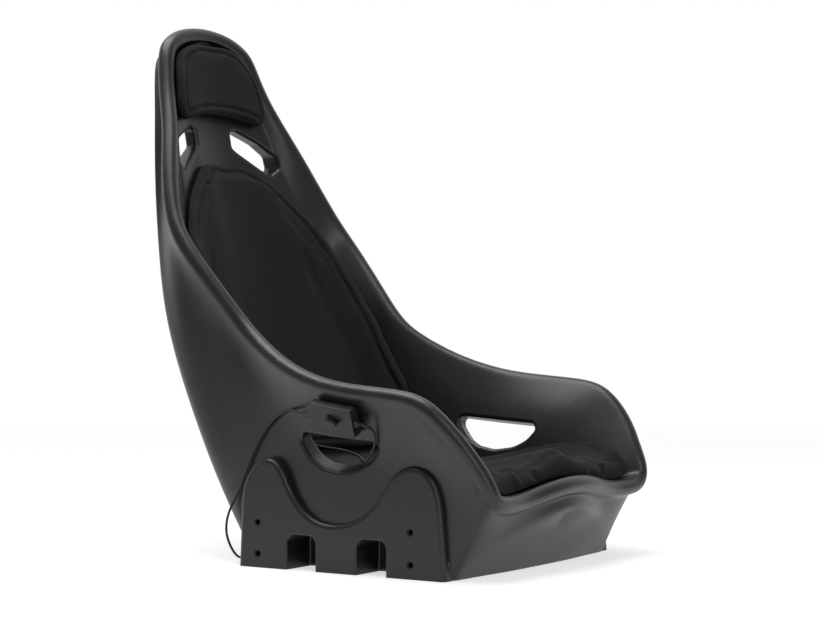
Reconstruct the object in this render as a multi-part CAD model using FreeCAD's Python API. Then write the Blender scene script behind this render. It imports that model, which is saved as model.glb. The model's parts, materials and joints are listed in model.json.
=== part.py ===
import FreeCAD
import Part
import math
import os

V = FreeCAD.Vector

# A one-piece bucket seat for a driving rig, in millimetres.
# The sitter faces -Y, +Z is up, and the origin is the middle of the base on the floor.

# Moulded shell
bead_radius = 13.5          # rolled rim that runs all round the bucket
rim_undercut = 7.0          # how far the outer wall steps back under the rim
wall = 28.0                 # the side wall through both skins, at its waist
skin = 5.0                  # each plastic wall of the hollow, double-walled moulding

# Base and the side blocks that carry it
block_face = 262.0          # outer face of each side block, from the middle
block_depth = 34.0
block_edge = 8.0            # rounding of the block's outer edges
base_front = -207.0
base_rear = 184.0
base_height = 30.0
base_corner = 22.0
notch_width = 54.0
notch_height = 55.0
notch_depth = 62.0
notch_corner = 13.0
notch_middles = (61.0, -72.0)

# Threaded inserts in each side block: a rectangle of four
bolt_pitch_y = 290.0
bolt_pitch_z = 50.0
bolt_lowest = 22.0
insert_bore = 4.25          # radius, takes an M8 stud
insert_radius = 6.5
insert_length = 20.0
insert_sink = 1.0           # how far the brass sits below the face
boss_radius = 13.0

# Harness slots
hip_slot_x = 237.0          # middle of the side wall there
hip_slot_slope = 20.0       # degrees that the slot drops towards the outside
shoulder_round = 8.0        # rounded rims of the belt slots and notches
hip_round = 6.0
notch_round = 4.0

# Pads: each is a foam core in a sewn cover, held by hook-and-loop strips
strip_thickness = 2.4
strip_gap = 0.9
strip_length = 46.0
strip_width = 22.0
cover_thickness = 1.6
cover_gap = 0.5             # between a cover and what it holds or touches
head_pad_thickness = 20.0
back_pad_thickness = 22.0
seat_pad_thickness = 40.0

# Shakers sewn into the back pad, two columns
shaker_radius = 14.0
shaker_height = 8.0
shaker_column = 62.0
shaker_heights = (235.0, 330.0, 425.0, 520.0)

# Control box on the sitter's right side wall
box_place_y = -17.0
box_place_z = 248.0
box_tilt = 7.5              # degrees nose-down, along the wall
box_stand = 1.5             # from the wall's nearest point to the box's back
box_length = 88.0
box_height = 47.0
box_depth = 17.0
box_wall = 1.8
box_corner = 5.0
box_floor = 2.0
screw_inset = 6.0
screw_radius = 1.4
screw_head_radius = 2.6
screw_head_height = 1.6
board_thickness = 1.6
board_lift = 3.0
pot_radius = 8.0
shaft_radius = 3.0
shaft_clearance = 0.05
bushing_radius = 3.6
knob_radius = 10.0
knob_height = 9.0
knob_reach = 17.0
knob_gap = 0.6
plug_width = 11.0
plug_height = 6.5
supply_plug_length = 16.0
pad_plug_length = 9.0
plug_nose = 5.0

# Cables
pad_cable_radius = 2.2
supply_cable_radius = 2.0
coil_inner = 13.0           # innermost turn of the put-away coil, centre line
coil_turns = 5              # turns in each of its two layers
coil_step = 4.6             # from turn to turn
coil_middle = (40.0, 292.0)
tie_width = 12.0
tie_thickness = 1.2
tie_gap = 0.3
coil_floor = tie_thickness + tie_gap    # under the coil
usb_body = (15.0, 30.0, 9.0)            # width, length, height
usb_tongue = (12.0, 12.0, 4.5)

# Stations of the bucket, right half, from the middle of the front lip to the top of the head.
# Each row: rim, inner corner, inner middle (y, z), outer corner, outer middle (y, z), and the x of
# the outer wall at its waist, where the wall steps in under the rim.
stations = [
    [(0, -297, 142), (0, -252, 139), (-236, 134), (0, -282, 96), (-264, 80), None],
    [(62, -293, 138), (52, -246, 132), (-222, 130), (62, -275, 86), (-252, 60), None],
    [(133, -285, 125), (115, -232, 123), (-196, 124), (133, -256, 68), (-240, 40), None],
    [(192, -288, 122), (158, -212, 118), (-162, 117), (188, -238, 44), (-226, 14), None],
    [(230, -290, 128), (180, -190, 115), (-122, 110), (222, -218, 14), (-208, -20), None],
    [(247, -286, 150), (192, -160, 112), (-78, 103), (240, -200, -20), (-180, -45), 240],
    [(257, -270, 182), (198, -124, 110), (-38, 98), (247, -174, -45), (-146, -45), 245],
    [(269, -250, 214), (202, -88, 109), (-4, 95), (250, -142, -45), (-108, -45), 248],
    [(280, -221, 249), (204, -52, 108), (28, 93), (252, -108, -45), (-76, -45), 250],
    [(286, -178, 280), (205, -18, 108), (56, 92), (252, -76, -45), (-46, -45), 251],
    [(285, -120, 291), (205, 16, 108), (84, 92), (252, -42, -45), (-12, -45), 251],
    [(281, -58, 296), (204, 52, 109), (112, 94), (252, 0, -45), (28, -45), 251],
    [(272, 14, 306), (201, 94, 115), (146, 99), (251, 50, -45), (72, -45), 250],
    [(255, 92, 331), (197, 140, 130), (186, 114), (247, 102, -45), (118, -45), 245],
    [(237, 155, 365), (191, 184, 156), (226, 138), (240, 152, -35), (170, -40), 238],
    [(230, 197, 400), (187, 222, 200), (262, 172), (233, 205, 30), (226, 18), 233],
    [(236, 243, 454), (183, 266, 276), (298, 232), (228, 258, 115), (274, 102), 232],
    [(244, 296, 518), (180, 312, 374), (333, 316), (223, 317, 235), (334, 222), 234],
    [(235, 338, 578), (174, 345, 468), (363, 410), (216, 370, 368), (387, 360), None],
    [(205, 373, 656), (158, 372, 578), (394, 516), (204, 400, 495), (424, 488), None],
    [(172, 397, 722), (140, 402, 664), (422, 622), (181, 427, 626), (449, 614), None],
    [(143, 424, 790), (119, 430, 752), (443, 726), (149, 452, 743), (472, 735), None],
    [(124, 441, 848), (102, 448, 820), (455, 800), (124, 472, 816), (492, 810), None],
    [(103, 449, 876), (82, 457, 852), (460, 838), (99, 482, 848), (495, 842), None],
    [(62, 454, 894), (48, 461, 868), (463, 858), (57, 487, 866), (494, 858), None],
    [(0, 456, 901), (0, 461, 882), (464, 866), (0, 487, 880), (491, 866), None],
]


def lerp(a, b, share):
    return a + (b - a) * share


def mirrored(point):
    return V(-point.x, point.y, point.z)


def poles_through(points):
    # Control points of the even cubic that passes through the points and meets X = 0 squarely.
    count = len(points)
    poles = list(points)
    for _ in range(60):
        padded = [mirrored(poles[1])] + poles + [mirrored(poles[-2])]
        poles = [(points[i] * 6 - padded[i] - padded[i + 2]) * 0.25 for i in range(count)]
    return [mirrored(poles[1])] + poles + [mirrored(poles[-2])]


def along(points, i):
    before = points[i - 1] if i > 0 else mirrored(points[1])
    after = points[i + 1] if i + 1 < len(points) else mirrored(points[-2])
    return (after - before).normalize()


def centre_along(middles, i):
    before = middles[max(i - 1, 0)]
    after = middles[min(i + 1, len(middles) - 1)]
    return (after - before).normalize()


def leave_centre(middle, corner, tangent, share):
    # A pole beside the centre plane: straight out sideways, and along the centre line.
    step = corner - middle
    flat = V(0, step.y, step.z)
    return middle + V(step.x * share, 0, 0) + tangent * (flat.dot(tangent) * share)


def inset_pole(poles, j, tangent, inset):
    # Moves a pole into the wall, square to the surface.
    last = len(poles) - 1
    across = poles[min(j + 1, last)] - poles[max(j - 1, 0)]
    if j in (0, last) and abs(across.x) > abs(tangent.x):
        across = V(across.x, 0, 0)
    normal = tangent.cross(across)
    return poles[j] - normal.normalize() * inset


def bucket_poles(inset):
    rims = [V(*row[0]) for row in stations]
    inner_corners = [V(*row[1]) for row in stations]
    inner_middles = [V(0, *row[2]) for row in stations]
    outer_corners = [V(*row[3]) for row in stations]
    outer_middles = [V(0, *row[4]) for row in stations]
    rows = []
    for i, row in enumerate(stations):
        rim, waist = rims[i], row[5]
        inner, inner_mid = inner_corners[i], inner_middles[i]
        outer, outer_mid = outer_corners[i], outer_middles[i]
        tangent = along(rims, i)
        depth = (inner - rim).normalize() + (outer - rim).normalize()
        depth = (depth - tangent * depth.dot(tangent)).normalize()
        out = depth.cross(tangent).normalize()
        rho = bead_radius / 0.9

        def bead(angle):
            a = math.radians(angle)
            return rim + depth * (bead_radius - rho * math.sin(a)) + out * (rho * math.cos(a))

        inner_root = rim + depth * bead_radius - out * rho
        outer_root = rim + depth * (bead_radius * 2.3) + out * (rho - rim_undercut)
        outer_side = [lerp(outer, outer_root, share) for share in (0.35, 0.6, 0.8, 0.94)]
        inner_side = [lerp(inner_root, inner, share) for share in (0.25, 0.5, 0.78)]
        if waist:
            inner_waist = waist - wall
            for pole, x in zip(outer_side, (lerp(outer.x, waist, 0.6), waist, waist + 1,
                                            lerp(waist, outer_root.x, 0.6))):
                pole.x = x
            for pole, x in zip(inner_side, (lerp(inner_waist, inner_root.x, 0.3), inner_waist,
                                            lerp(inner_waist, inner.x, 0.5))):
                pole.x = x
        poles = [outer_mid,
                 leave_centre(outer_mid, outer, centre_along(outer_middles, i), 0.35),
                 lerp(outer_mid, outer, 0.72),
                 outer]
        poles += outer_side
        poles += [bead(angle) for angle in (-45, 0, 45, 90, 135, 180)]
        poles += inner_side
        poles += [inner,
                  lerp(inner, inner_mid, 0.4),
                  leave_centre(inner_mid, inner, centre_along(inner_middles, i), 0.3),
                  inner_mid]
        rows.append([inset_pole(poles, j, tangent, inset) for j in range(len(poles))])
    return rows


def bucket_surface(rows):
    columns = [poles_through([row[j] for row in rows]) for j in range(len(rows[0]))]
    grid = [[column[i] for column in columns] for i in range(len(columns[0]))]
    spans = len(rows) - 1
    across = len(rows[0])
    knots_along = [float(k) for k in range(-3, spans + 4)]
    knots_across = [float(k) for k in range(across - 2)]
    surface = Part.BSplineSurface()
    surface.buildFromPolesMultsKnots(grid, [1] * len(knots_along), [4] + [1] * (across - 4) + [4],
                                     knots_along, knots_across, False, False, 3, 3)
    surface.segment(0.0, float(spans), 0.0, knots_across[-1])
    return surface


def closed_bucket(surface):
    half = surface.toShape()
    other = half.mirror(V(0, 0, 0), V(1, 0, 0))
    shell = Part.makeShell([half, other])
    shell.sewShape()
    solid = Part.makeSolid(shell)
    if solid.Volume < 0:
        solid.reverse()
    return solid


def box_between(low, high):
    size = V(*high) - V(*low)
    return Part.makeBox(size.x, size.y, size.z, V(*low))


def rounded_face(points, radii):
    # A flat outline through the corners, each turned by an arc that its own edges leave room for.
    if not isinstance(radii, list):
        radii = [radii] * len(points)
    edges = []
    count = len(points)
    ends = []
    for i, corner in enumerate(points):
        before = points[i - 1] - corner
        after = points[(i + 1) % count] - corner
        turn = before.getAngle(after)
        reach = min(radii[i] / math.tan(turn / 2), before.Length * 0.49, after.Length * 0.49)
        real_radius = reach * math.tan(turn / 2)
        start = corner + before.normalize() * reach
        end = corner + after.normalize() * reach
        inward = (before + after).normalize()
        middle = corner + inward * (real_radius / math.sin(turn / 2) - real_radius)
        ends.append((start, middle, end))
    for i, (start, middle, end) in enumerate(ends):
        edges.append(Part.Arc(start, middle, end).toShape())
        edges.append(Part.LineSegment(end, ends[(i + 1) % count][0]).toShape())
    return Part.Face(Part.Wire(edges))


def both_sides(shape):
    return [shape, shape.mirror(V(0, 0, 0), V(1, 0, 0))]


def edges_near(shape, points, reach):
    # Edges whose middle lies within reach of any of the points.
    found = []
    for edge in shape.Edges:
        middle = edge.valueAt((edge.FirstParameter + edge.LastParameter) / 2)
        if min(middle.distanceToPoint(point) for point in points) < reach:
            found.append(edge)
    return found


def side_block():
    # The W-shaped pad that stands out of the side wall; its top edge dips under the harness slot.
    top = [(179, 104), (171, 140), (150, 166), (127, 175), (106, 165), (88, 136), (66, 104),
           (38, 83), (0, 76), (-38, 84), (-68, 103), (-92, 133), (-116, 161), (-148, 172),
           (-180, 158), (-195, 128), (-200, 96)]
    points = [V(block_face - block_depth, y, z) for y, z in top]
    crown = Part.BSplineCurve()
    crown.interpolate(points)
    foot_rear = V(block_face - block_depth, base_rear, 0)
    foot_front = V(block_face - block_depth, base_front, 0)
    edges = [Part.LineSegment(foot_rear, points[0]).toShape(),
             crown.toShape(),
             Part.LineSegment(points[-1], foot_front).toShape(),
             Part.LineSegment(foot_front, foot_rear).toShape()]
    block = Part.Face(Part.Wire(edges)).extrude(V(block_depth, 0, 0))
    face_edges = [edge for edge in block.Edges
                  if edge.BoundBox.XMin > block_face - 0.1 and edge.BoundBox.ZMax > 1]
    return block.makeFillet(block_edge, face_edges)


def base_plate():
    corners = [V(-block_face, base_front, 0), V(block_face, base_front, 0),
               V(block_face, base_rear, 0), V(-block_face, base_rear, 0)]
    return rounded_face(corners, base_corner).extrude(V(0, 0, base_height))


def notches():
    # Bolt and bracket pockets let into the foot of each block.
    tools = []
    for middle in notch_middles:
        low, high = middle - notch_width / 2, middle + notch_width / 2
        x = block_face + 10
        corners = [V(x, low, -20), V(x, high, -20), V(x, high, notch_height), V(x, low, notch_height)]
        tool = rounded_face(corners, notch_corner).extrude(V(-10 - notch_depth, 0, 0))
        tools += both_sides(tool)
    return tools


def hip_slot(grow):
    # Half-moon slot, square to the leaning side wall; grow makes the moulded sleeve around it.
    outline = [(66, 219), (-76, 211), (-82, 200), (-66, 180), (-42, 167), (-6, 161),
               (28, 167), (52, 182), (68, 206)]
    radii = [9, 9, 9, 50, 50, 50, 50, 50, 14]
    slope = math.radians(hip_slot_slope)
    middle = V(hip_slot_x, -6, 190)
    points = [V(hip_slot_x, y, z) for y, z in outline]
    points = [point + (point - middle).normalize() * grow for point in points]
    out = V(math.cos(slope), 0, -math.sin(slope))
    face = rounded_face(points, [radius + grow for radius in radii])
    face.translate(out * -60)
    return face.extrude(out * 120)


def shoulder_slot(grow):
    outline = [(52, 724), (68, 723), (112, 704), (140, 684), (143, 662), (121, 648), (52, 694)]
    middle = V(98, 380, 690)
    points = [V(x, 380, z) for x, z in outline]
    points = [point + (point - middle).normalize() * grow for point in points]
    return rounded_face(points, 9 + grow).extrude(V(0, 120, 0))


def bolt_places():
    return [V(0, side * bolt_pitch_y / 2, bolt_lowest + row * bolt_pitch_z)
            for side in (-1, 1) for row in (0, 1)]


def rim_edges(shape, tools):
    # The edges that the cuts leave on both faces of a wall, without those that run along a cut.
    found = []
    for edge in shape.Edges:
        first, last = edge.FirstParameter, edge.LastParameter
        points = [edge.valueAt(lerp(first, last, share)) for share in (0.1, 0.5, 0.9)]
        run = edge.tangentAt(lerp(first, last, 0.5))
        for tool, along_cut in tools:
            if not tool.BoundBox.intersect(edge.BoundBox):
                continue
            if edge.Curve.TypeId == "Part::GeomLine" and abs(run.dot(along_cut)) > 0.9:
                continue
            if all(tool.Shells[0].distToShape(Part.Vertex(point))[0] < 0.02 for point in points):
                found.append(edge)
                break
    return found


def seat_shell(surface):
    body = closed_bucket(surface)
    body = body.cut(Part.makeBox(800, 1000, 200, V(-400, -500, -200)))
    body = body.fuse([base_plate()] + both_sides(side_block()))
    hollow = closed_bucket(bucket_surface(bucket_poles(skin)))
    hollow = hollow.cut(Part.makeBox(800, 1000, 200, V(-400, -500, skin - 200)))
    outline = [V(-400, -500, -10), V(-400, -192, -10), V(-400, -240, 65), V(-400, -500, 65)]
    hollow = hollow.cut(Part.Face(Part.makePolygon(outline + outline[:1])).extrude(V(800, 0, 0)))
    solid_parts = both_sides(hip_slot(skin)) + both_sides(shoulder_slot(skin))
    for place in bolt_places():
        start = V(block_face - insert_length - 12, place.y, place.z)
        solid_parts += both_sides(Part.makeCylinder(boss_radius, 40, start, V(1, 0, 0)))
    for tool in notches():
        solid_parts.append(tool.makeOffsetShape(skin, 0.01, join=2))
    hollow = hollow.cut(solid_parts)
    print("hollow", hollow.isValid(), len(hollow.Solids), hollow.Volume / 1e6)
    cuts = both_sides(hip_slot(0)) + both_sides(shoulder_slot(0)) + notches()
    for place in bolt_places():
        start = V(block_face - insert_length - insert_sink, place.y, place.z)
        cuts += both_sides(Part.makeCylinder(insert_radius, 60, start, V(1, 0, 0)))
    body = body.cut(cuts)
    for tools, along_cut, radius in ((both_sides(shoulder_slot(0)), V(0, 1, 0), shoulder_round),
                                     (both_sides(hip_slot(0)), V(1, 0, 0), hip_round),
                                     (notches(), V(1, 0, 0), notch_round)):
        body = body.makeFillet(radius, rim_edges(body, [(tool, along_cut) for tool in tools]))
    print("body", body.isValid(), len(body.Solids), body.Volume / 1e6)
    return body, hollow


wall_samples = {}


def wall_hit(surface, origin, direction, side="inner"):
    # Where a straight line of sight meets the shell; the surface is the shell's right half.
    lowest, highest = {"inner": (10.0, 18.0), "outer": (0.0, 9.5)}[side]
    if side not in wall_samples:
        wall_samples[side] = []
        for i in range(101):
            for j in range(31):
                u, v = i / 4, lowest + (highest - lowest) * j / 30
                wall_samples[side].append((u, v, surface.value(u, v)))
    flip = -1 if (direction.x if side == "inner" and direction.x else origin.x) < 0 else 1
    start = V(origin.x * flip, origin.y, origin.z)
    ahead = V(direction.x * flip, direction.y, direction.z).normalize()
    best = None
    for u, v, point in wall_samples[side]:
        offset = point - start
        reach = offset.dot(ahead)
        miss = (offset - ahead * reach).Length
        if reach > 0 and (best is None or miss < best[0]):
            best = (miss, u, v, reach)
    _, u, v, reach = best
    for _ in range(20):
        along_u, along_v = surface.getDN(u, v, 1, 0), surface.getDN(u, v, 0, 1)
        wanted = start + ahead * reach - surface.value(u, v)
        back = V(-ahead.x, -ahead.y, -ahead.z)
        whole = along_u.dot(along_v.cross(back))
        u = min(max(u + wanted.dot(along_v.cross(back)) / whole, 0.0), 25.0)
        v = min(max(v + along_u.dot(wanted.cross(back)) / whole, lowest), highest)
        reach += along_u.dot(along_v.cross(wanted)) / whole
        if wanted.Length < 1e-6:
            break
    if wanted.Length > 0.01:
        raise ValueError("no wall in that direction")
    return origin + V(ahead.x * flip, ahead.y, ahead.z) * reach


def pad_section(surface, origin, down, half_angle, profile, thickness, gap, inset):
    # One closed outline of a pad: a bottom that follows the shell, rounded sides and a crowned top.
    steps = len(profile) - 1
    edge = wall_hit(surface, origin, V(math.sin(half_angle), 0, 0) + down * math.cos(half_angle))
    half_angle -= inset / (edge - origin).Length
    bottom, top = [], []
    for k in range(-steps, steps + 1):
        angle = half_angle * k / steps
        ray = V(math.sin(angle), 0, 0) + down * math.cos(angle)
        if k == 0:
            ray.x = 1e-4
        hit = wall_hit(surface, origin, ray)
        back = (origin - hit).normalize()
        bottom.append(hit + back * (gap + inset))
        top.append(hit + back * (gap + thickness * profile[abs(k)] - inset))
    edges = []
    for row in (bottom, top):
        for k in range(0, 2 * steps, 2):
            edges.append(Part.Arc(row[k], row[k + 1], row[k + 2]).toShape())
    for side in (0, -1):
        outward = (bottom[side] - bottom[side + (1 if side == 0 else -1)]).normalize()
        height = (top[side] - bottom[side]).Length
        bulge = (top[side] + bottom[side]) * 0.5 + outward * (height * 0.42)
        edges.append(Part.Arc(bottom[side], bulge, top[side]).toShape())
    return Part.Wire(Part.__sortEdges__(edges))


def pad_solid(surface, sections, profile, gap, inset):
    # sections: (origin, down, half angle in degrees, thickness)
    wires = []
    for i, (origin, down, degrees, thickness) in enumerate(sections):
        if i == 0:
            origin = origin + (sections[1][0] - origin).normalize() * inset
        if i == len(sections) - 1:
            origin = origin + (sections[-2][0] - origin).normalize() * inset
        wires.append(pad_section(surface, origin, down, math.radians(degrees), profile,
                                 thickness, gap, inset))
    return Part.makeLoft(wires, True, False)


def back_sections(surface):
    rows = [(166, 58, 0.35), (174, 68, 0.7), (192, 78, 0.95), (225, 87, 1), (275, 90, 1),
            (330, 87, 1), (385, 83, 1), (440, 77, 1), (490, 71, 1), (540, 65, 1), (580, 58, 1),
            (615, 48, 1), (640, 37, 0.98), (656, 26, 0.85), (664, 17, 0.45)]
    sections = []
    for z, degrees, share in filled_in(rows, 28):
        back = wall_hit(surface, V(0.01, 0, z), V(0, 1, 0))
        sections.append((V(0, back.y - 150, z), V(0, 1, 0), degrees, back_pad_thickness * share))
    return sections


def head_sections(surface):
    rows = [(736, 108, 0.35), (741, 117, 0.75), (752, 122, 1), (775, 123, 1), (800, 117, 1),
            (825, 108, 1), (845, 94, 1), (860, 76, 0.97), (869, 56, 0.8), (874, 38, 0.4)]
    sections = []
    for z, half_width, share in rows:
        back = wall_hit(surface, V(0.01, 0, z), V(0, 1, 0))
        degrees = math.degrees(math.atan2(half_width, 400))
        sections.append((V(0, back.y - 400, z), V(0, 1, 0), degrees, head_pad_thickness * share))
    return sections


def seat_sections(surface):
    rows = [(-268, 43, 0.3), (-264, 44.5, 0.7), (-256, 46, 0.95), (-240, 48, 1.05), (-200, 50, 1.05),
            (-140, 51, 1), (-70, 50, 1), (0, 48, 1), (60, 45, 1), (110, 43, 0.95), (150, 41, 0.8),
            (164, 40, 0.5), (170, 39, 0.25)]
    sections = []
    for y, degrees, share in filled_in(rows, 22):
        pan = wall_hit(surface, V(0.01, y, 500), V(0, 0, -1))
        sections.append((V(0, y, pan.z + 220), V(0, 0, -1), degrees, seat_pad_thickness * share))
    return sections


back_profile = (1.0, 1.0, 1.0, 1.0, 0.98, 0.97, 0.94, 0.88, 0.65)
head_profile = (1.0, 1.0, 0.98, 0.94, 0.7)
seat_profile = (1.08, 1.04, 0.92, 0.82, 0.82, 0.96, 1.12, 1.12, 0.8)


def strips(surface, sections, places, along_z):
    # Hook-and-loop patches that follow the shell, from a thin layer cut into pieces.
    thin = [(origin, down, degrees * 0.85, strip_thickness) for origin, down, degrees, _ in sections]
    layer = pad_solid(surface, thin, (1.0,) * 7, strip_gap, 0)
    box = layer.BoundBox
    patches = []
    for x, place in places:
        if along_z:
            corner = V(x - strip_length / 2, box.YMin - 1, place - strip_width / 2)
            stamp = Part.makeBox(strip_length, box.YLength + 2, strip_width, corner)
        else:
            corner = V(x - strip_length / 2, place - strip_width / 2, box.ZMin - 1)
            stamp = Part.makeBox(strip_length, strip_width, box.ZLength + 2, corner)
        patches += layer.common(stamp).Solids
    return patches


def filled_in(rows, step):
    # Adds rows between the given ones, so that the pad follows the shell closely.
    full = []
    for here, there in zip(rows, rows[1:]):
        parts = max(1, round(abs(there[0] - here[0]) / step))
        for k in range(parts):
            full.append(tuple(lerp(a, b, k / parts) for a, b in zip(here, there)))
    return full + [rows[-1]]


def shaker_places(surface):
    places = []
    for z in shaker_heights:
        for side in (-1, 1):
            hit = wall_hit(surface, V(side * shaker_column, 0, z), V(0, 1, 0))
            above = wall_hit(surface, V(side * shaker_column, 0, z + 10), V(0, 1, 0))
            up = (above - hit).normalize()
            out = V(1, 0, 0).cross(up).normalize()
            places.append((hit + out * (pad_gap + 7.0), out))
    return places


def box_frame(surface):
    # The box's own axes: x towards the front, y up, z out of the wall; it lies flat on the wall.
    def wall(y, z):
        return wall_hit(surface, V(-400, y, z), V(1, 0, 0), "outer")

    y, z = box_place_y, box_place_z
    half_long, half_high = box_length / 2, box_height / 2
    touched = [wall(y + i * half_long, z + j * half_high) for i in (-1, 0, 1) for j in (-1, 0, 1)]
    level = (wall(y - half_long, z) - wall(y + half_long, z)).normalize()
    rise = (wall(y, z + half_high) - wall(y, z - half_high)).normalize()
    out = level.cross(rise).normalize()
    if out.x > 0:
        out = V() - out
    rise = out.cross(level)
    tilt = math.radians(box_tilt)
    ahead = level * math.cos(tilt) - rise * math.sin(tilt)
    centre = touched[4]
    stand = max((point - centre).dot(out) for point in touched) + box_stand
    turn = FreeCAD.Rotation(ahead, out.cross(ahead), out, "ZXY")
    return FreeCAD.Placement(centre + out * stand, turn)


def plate(length, height, corner, low, high):
    corners = [V(-length / 2, -height / 2, low), V(length / 2, -height / 2, low),
               V(length / 2, height / 2, low), V(-length / 2, height / 2, low)]
    return rounded_face(corners, corner).extrude(V(0, 0, high - low))


def screw_places():
    x, y = box_length / 2 - screw_inset, box_height / 2 - screw_inset
    return [(-x, -y), (x, -y), (x, y), (-x, y)]


def cylinder(x, y, low, high, radius):
    return Part.makeCylinder(radius, high - low, V(x, y, low))


def control_box_parts():
    parts = {}
    board_low = box_floor + board_lift
    board_high = board_low + board_thickness
    plug_middle = board_high + plug_height / 2 + 0.4
    head_low = box_depth - screw_head_height - 0.4

    base = plate(box_length, box_height, box_corner, 0, box_floor)
    pillars = [cylinder(x, y, box_floor, board_low, 2.6) for x, y in screw_places()]
    base = base.fuse(pillars)
    base = base.cut([cylinder(x, y, -1, board_low + 1, screw_radius + 0.05) for x, y in screw_places()])
    parts["box_base"] = base

    cover = plate(box_length, box_height, box_corner, box_floor, box_depth)
    face_edges = [edge for edge in cover.Edges if edge.BoundBox.ZMin > box_depth - 0.01]
    cover = cover.makeFillet(1.4, face_edges)
    cavity = plate(box_length - 2 * box_wall, box_height - 2 * box_wall, box_corner - box_wall,
                   box_floor - 1, box_depth - box_wall)
    cavity = cavity.cut([cylinder(x, y, board_high + 0.2, box_depth, 3.4) for x, y in screw_places()])
    cover = cover.cut(cavity)
    holes = [cylinder(x, y, 0, box_depth + 1, screw_radius + 0.2) for x, y in screw_places()]
    holes += [cylinder(x, y, head_low, box_depth + 1, screw_head_radius + 0.2)
              for x, y in screw_places()]
    holes.append(cylinder(0, 0, board_high, box_depth + 1, bushing_radius + 0.2))
    for side in (-1, 1):
        opening = Part.makeBox(6, plug_width + 0.4, plug_height + 0.4,
                               V(-3, -plug_width / 2 - 0.2, plug_middle - plug_height / 2 - 0.2))
        opening.translate(V(side * box_length / 2, 0, 0))
        holes.append(opening)
    parts["box_cover"] = cover.cut(holes)

    screws = []
    for x, y in screw_places():
        screw = cylinder(x, y, 0.4, head_low + 0.3, screw_radius)
        head = cylinder(x, y, head_low, head_low + screw_head_height, screw_head_radius)
        slot = Part.makeBox(0.7, 3.4, 1.0, V(x - 0.35, y - 1.7, head_low + screw_head_height - 0.8))
        cross = slot.copy()
        cross.rotate(V(x, y, 0), V(0, 0, 1), 90)
        screws.append(screw.fuse(head).cut([slot, cross]))
    parts["box_screws"] = Part.makeCompound(screws)

    board = plate(box_length - 2 * box_wall - 1.2, box_height - 2 * box_wall - 1.2, 2.0,
                  board_low, board_high)
    parts["circuit_board"] = board.cut([cylinder(x, y, 0, 20, screw_radius + 0.3)
                                        for x, y in screw_places()])
    chip = Part.makeBox(10, 10, 1.4, V(14, 4, board_high))
    cans = [cylinder(x, 12, board_high, board_high + 6, 3.0) for x in (-22, -14)]
    coil = Part.makeBox(9, 8, 4, V(14, -15, board_high))
    parts["board_components"] = Part.makeCompound([chip, coil] + cans)

    pot_top = box_depth - box_wall - 0.1
    pot = cylinder(0, 0, board_high, pot_top - 1.5, pot_radius)
    pot = pot.fuse(cylinder(0, 0, pot_top - 1.5, box_depth + 4.0, bushing_radius))
    parts["dimmer_pot"] = pot.cut(cylinder(0, 0, board_high + 2.5, 40, shaft_radius + shaft_clearance))
    nut_face = Part.Face(Part.makePolygon([V(5.6 * math.cos(math.radians(60 * k)),
                                             5.6 * math.sin(math.radians(60 * k)), box_depth)
                                           for k in range(7)]))
    nut = nut_face.extrude(V(0, 0, 1.6))
    parts["pot_nut"] = nut.cut(cylinder(0, 0, 0, 40, bushing_radius + 0.05))

    knob_low = box_depth + knob_gap
    knob_top = knob_low + knob_height
    parts["knob_shaft"] = cylinder(0, 0, board_high + 3.0, knob_top - 1.6, shaft_radius)
    knob = cylinder(0, 0, knob_low, knob_low + 3.0, knob_radius)
    grip_outline = [V(-knob_radius * 0.8, -knob_radius * 0.45, knob_low + 2.0),
                    V(knob_radius * 0.2, -knob_radius * 0.62, knob_low + 2.0),
                    V(knob_reach, -2.2, knob_low + 2.0), V(knob_reach, 2.2, knob_low + 2.0),
                    V(knob_radius * 0.2, knob_radius * 0.62, knob_low + 2.0),
                    V(-knob_radius * 0.8, knob_radius * 0.45, knob_low + 2.0)]
    grip = rounded_face(grip_outline, 3.0).extrude(V(0, 0, knob_top - knob_low - 2.0))
    dome = cylinder(0, 0, knob_low, knob_top - 1.0, knob_radius * 0.8)
    knob = knob.fuse([grip, dome]).removeSplitter()
    top_edges = [edge for edge in knob.Edges if edge.BoundBox.ZMin > knob_top - 0.01]
    knob = knob.makeFillet(0.9, top_edges)
    knob = knob.cut([cylinder(0, 0, 0, knob_low + 1.8, 6.4), cylinder(0, 0, 0, knob_low + 4.2, 4.0),
                     cylinder(0, 0, 0, knob_top - 1.5, shaft_radius + 0.03)])
    parts["control_knob"] = knob

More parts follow.
